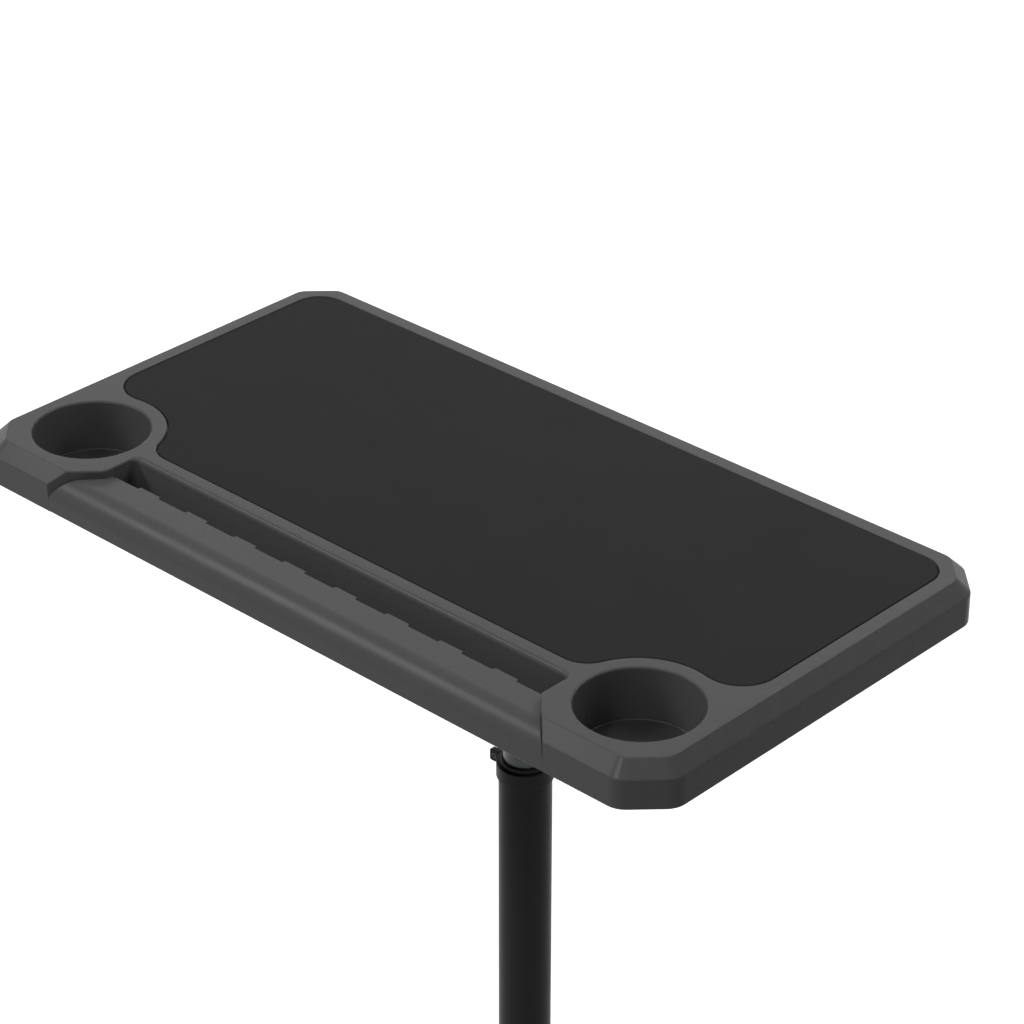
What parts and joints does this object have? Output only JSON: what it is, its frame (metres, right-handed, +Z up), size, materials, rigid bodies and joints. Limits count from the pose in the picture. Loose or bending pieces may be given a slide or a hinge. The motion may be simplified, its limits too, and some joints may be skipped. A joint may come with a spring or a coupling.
{
  "type": "bike trainer desk",
  "caption": "Height-adjustable rolling desk for an indoor bike trainer: moulded top with cup wells, device slot and rubber mat on a clamped telescopic post over a castered H base.",
  "frame": {"origin": "on the floor, on the axis of the post, in the middle of the H base", "axes": "+Z up along the post; the user sits on the -Y side, where the cup wells and the front roll are; +X is to the right of the user"},
  "size_m": [0.618, 0.605, 1],
  "materials": {
    "moulded_plastic": "fine-grained injection-moulded charcoal grey plastic, satin to matte",
    "roll_skin": "soft-touch charcoal grey skin of the front roll, as the moulding but softer",
    "mat_rubber": "near-black rubber mat with a very fine grain, matte",
    "pad_rubber": "near-black rubber pads in the cups, matte",
    "dark_plastic": "black moulded plastic, satin",
    "powder_coat": "black powder-coated steel with a light orange peel, satin",
    "tube_steel": "dark grey drawn steel tube, satin",
    "zinc_steel": "zinc-plated steel fasteners and axles",
    "black_steel": "black painted pressed steel, satin",
    "wheel_plastic": "dark grey moulded wheel cores",
    "tyre_rubber": "dark grey rubber tread, matte"
  },
  "bodies": {
    "stand": {"outer_tube": "powder_coat", "guide_bush": "dark_plastic", "clamp_collar": "powder_coat", "clamp_stud": "zinc_steel", "lever_barrel": "zinc_steel", "cam_washer": "dark_plastic", "base_socket": "powder_coat", "hub_screw": "dark_plastic", "hub_bolt_1": "zinc_steel", "hub_bolt_2": "zinc_steel", "hub_bolt_3": "zinc_steel", "hub_bolt_4": "zinc_steel", "crossbar": "powder_coat", "leg_left": "powder_coat", "leg_right": "powder_coat", "leg_cap_front_left": "dark_plastic", "leg_cap_front_right": "dark_plastic", "leg_cap_rear_left": "dark_plastic", "leg_cap_rear_right": "dark_plastic", "leg_bolt_left_1": "zinc_steel", "leg_bolt_left_2": "zinc_steel", "leg_bolt_right_1": "zinc_steel", "leg_bolt_right_2": "zinc_steel", "caster_stem_front_left": "zinc_steel", "caster_stem_front_right": "zinc_steel", "caster_stem_rear_left": "zinc_steel", "caster_stem_rear_right": "zinc_steel"},
    "desktop": {"top_tray": "moulded_plastic", "front_roll": "roll_skin", "work_mat": "mat_rubber", "cup_pad_left": "pad_rubber", "cup_pad_right": "pad_rubber", "mounting_plate": "black_steel", "plate_screw_1": "zinc_steel", "plate_screw_2": "zinc_steel", "plate_screw_3": "zinc_steel", "plate_screw_4": "zinc_steel", "tube_socket": "powder_coat", "socket_set_screw": "dark_plastic", "inner_tube": "tube_steel", "inner_tube_glide": "dark_plastic"},
    "cam_lever": {"clamp_lever": "dark_plastic"},
    "swivel_front_left": {"fork_front_left": "black_steel", "axle_front_left": "zinc_steel"},
    "swivel_front_right": {"fork_front_right": "black_steel", "axle_front_right": "zinc_steel"},
    "swivel_rear_left": {"fork_rear_left": "black_steel", "axle_rear_left": "zinc_steel"},
    "swivel_rear_right": {"fork_rear_right": "black_steel", "axle_rear_right": "zinc_steel"},
    "roller_front_left": {"wheel_front_left": "wheel_plastic", "tyre_front_left": "tyre_rubber"},
    "roller_front_right": {"wheel_front_right": "wheel_plastic", "tyre_front_right": "tyre_rubber"},
    "roller_rear_left": {"wheel_rear_left": "wheel_plastic", "tyre_rear_left": "tyre_rubber"},
    "roller_rear_right": {"wheel_rear_right": "wheel_plastic", "tyre_rear_right": "tyre_rubber"},
    "brake_front_left": {"brake_pedal_front_left": "dark_plastic"},
    "brake_front_right": {"brake_pedal_front_right": "dark_plastic"}
  },
  "joints": [
    {"name": "desk_height", "type": "slide", "parent": "stand", "child": "desktop", "axis": [0, 0, 1], "range_m": [-0.15, 0.22]},
    {"name": "clamp_lever_turn", "type": "hinge", "parent": "stand", "child": "cam_lever", "pos_m": [-0.0252, 0.01565, 0.7573], "axis": [0, 0, 1], "range_deg": [0, 100]},
    {"name": "swivel_turn_front_left", "type": "hinge", "parent": "stand", "child": "swivel_front_left", "pos_m": [-0.25, -0.245, 0.09], "axis": [0, 0, 1], "continuous": true},
    {"name": "wheel_spin_front_left", "type": "hinge", "parent": "swivel_front_left", "child": "roller_front_left", "pos_m": [-0.25, -0.265, 0.0375], "axis": [1, 0, 0], "continuous": true},
    {"name": "brake_press_front_left", "type": "hinge", "parent": "swivel_front_left", "child": "brake_front_left", "pos_m": [-0.25, -0.271, 0.0828], "axis": [1, 0, 0], "range_deg": [0, 12]},
    {"name": "swivel_turn_front_right", "type": "hinge", "parent": "stand", "child": "swivel_front_right", "pos_m": [0.25, -0.245, 0.09], "axis": [0, 0, 1], "continuous": true},
    {"name": "wheel_spin_front_right", "type": "hinge", "parent": "swivel_front_right", "child": "roller_front_right", "pos_m": [0.25, -0.265, 0.0375], "axis": [1, 0, 0], "continuous": true},
    {"name": "brake_press_front_right", "type": "hinge", "parent": "swivel_front_right", "child": "brake_front_right", "pos_m": [0.25, -0.271, 0.0828], "axis": [1, 0, 0], "range_deg": [0, 12]},
    {"name": "swivel_turn_rear_left", "type": "hinge", "parent": "stand", "child": "swivel_rear_left", "pos_m": [-0.25, 0.245, 0.09], "axis": [0, 0, 1], "continuous": true},
    {"name": "wheel_spin_rear_left", "type": "hinge", "parent": "swivel_rear_left", "child": "roller_rear_left", "pos_m": [-0.25, 0.265, 0.0375], "axis": [1, 0, 0], "continuous": true},
    {"name": "swivel_turn_rear_right", "type": "hinge", "parent": "stand", "child": "swivel_rear_right", "pos_m": [0.25, 0.245, 0.09], "axis": [0, 0, 1], "continuous": true},
    {"name": "wheel_spin_rear_right", "type": "hinge", "parent": "swivel_rear_right", "child": "roller_rear_right", "pos_m": [0.25, 0.265, 0.0375], "axis": [1, 0, 0], "continuous": true}
  ]
}
